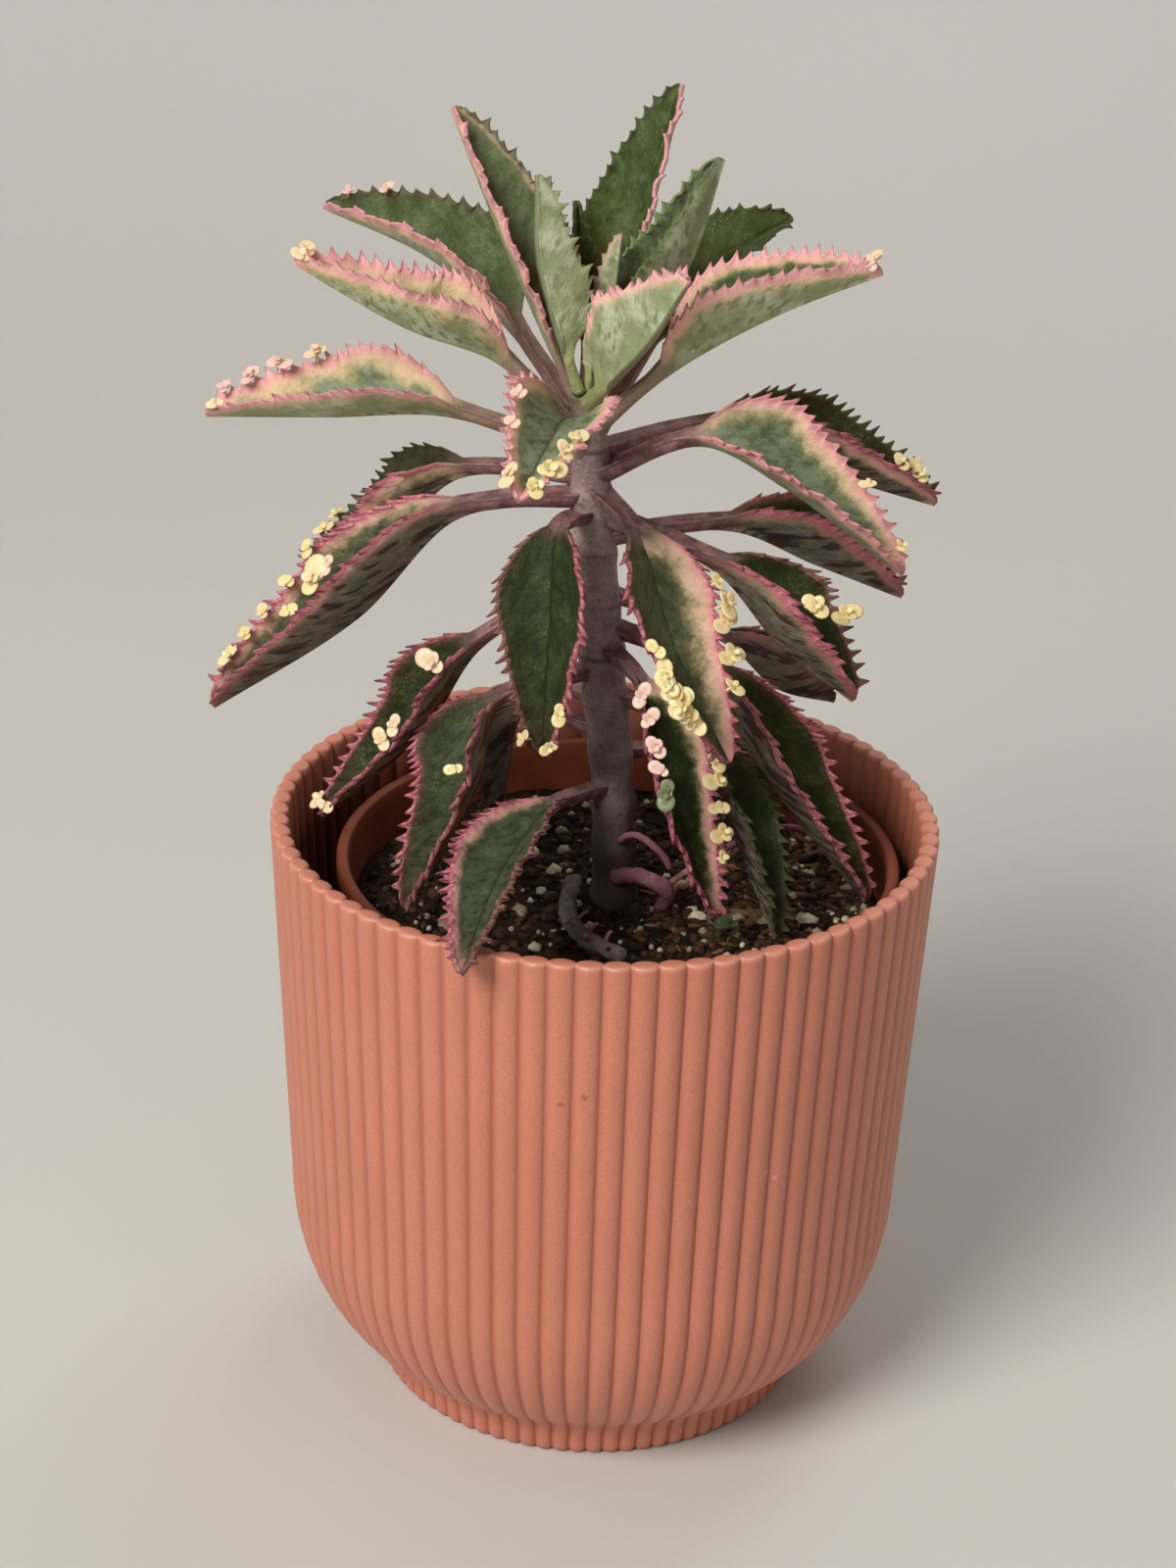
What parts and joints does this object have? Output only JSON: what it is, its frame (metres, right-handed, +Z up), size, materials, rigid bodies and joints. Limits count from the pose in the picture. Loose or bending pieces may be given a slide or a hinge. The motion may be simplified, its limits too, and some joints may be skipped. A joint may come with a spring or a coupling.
{
  "type": "potted plant",
  "caption": "Tall kalanchoe with folded, saw-edged, pink-margined leaves that carry plantlets, standing in soil in a nursery pot inside a ribbed cover pot.",
  "frame": {"origin": "centre of the cover pot's flat underside, at floor level", "axes": "+Z up; +Y away from the viewer of the picture, +X to the right"},
  "size_m": [0.1519, 0.1426, 0.2753],
  "materials": {
    "cover_pot": "satin salmon pink",
    "nursery_pot": "terracotta brown",
    "soil": "crumbly potting mix",
    "stem": "grey purple, speckled",
    "leaf": "fleshy grey green with pink edges",
    "dry": "dry stalk"
  },
  "bodies": {
    "root": {"cover_pot": "cover_pot", "nursery_pot": "nursery_pot", "soil": "soil", "stem": "stem", "old_stalk": "dry", "fallen_stalk": "dry", "seedling": "leaf", "leaf_crown_back": "leaf", "leaf_crown_left": "leaf", "leaf_crown_left_inner": "leaf", "leaf_crown_right": "leaf", "leaf_crown_front": "leaf", "leaf_crown_right_back": "leaf", "leaf_crown_right_long": "leaf", "leaf_crown_left_back": "leaf", "leaf_crown_left_long": "leaf", "leaf_crown_centre": "leaf", "leaf_crown_right_inner": "leaf", "leaf_middle_front": "leaf", "leaf_middle_left": "leaf", "leaf_middle_left_back": "leaf", "leaf_middle_left_front": "leaf", "leaf_middle_right": "leaf", "leaf_middle_right_back": "leaf", "leaf_middle_right_low": "leaf", "leaf_middle_right_front": "leaf", "leaf_middle_right_dry": "leaf", "leaf_hanging_front": "leaf", "leaf_hanging_front_right": "leaf", "leaf_hanging_right_inner": "leaf", "leaf_hanging_right_olive": "leaf", "leaf_hanging_right": "leaf", "leaf_hanging_left": "leaf", "leaf_hanging_left_front": "leaf", "leaf_hanging_left_inner": "leaf", "leaf_low_front": "leaf", "leaf_low_back_left": "leaf", "leaf_low_back_right": "leaf"}
  },
  "joints": []
}
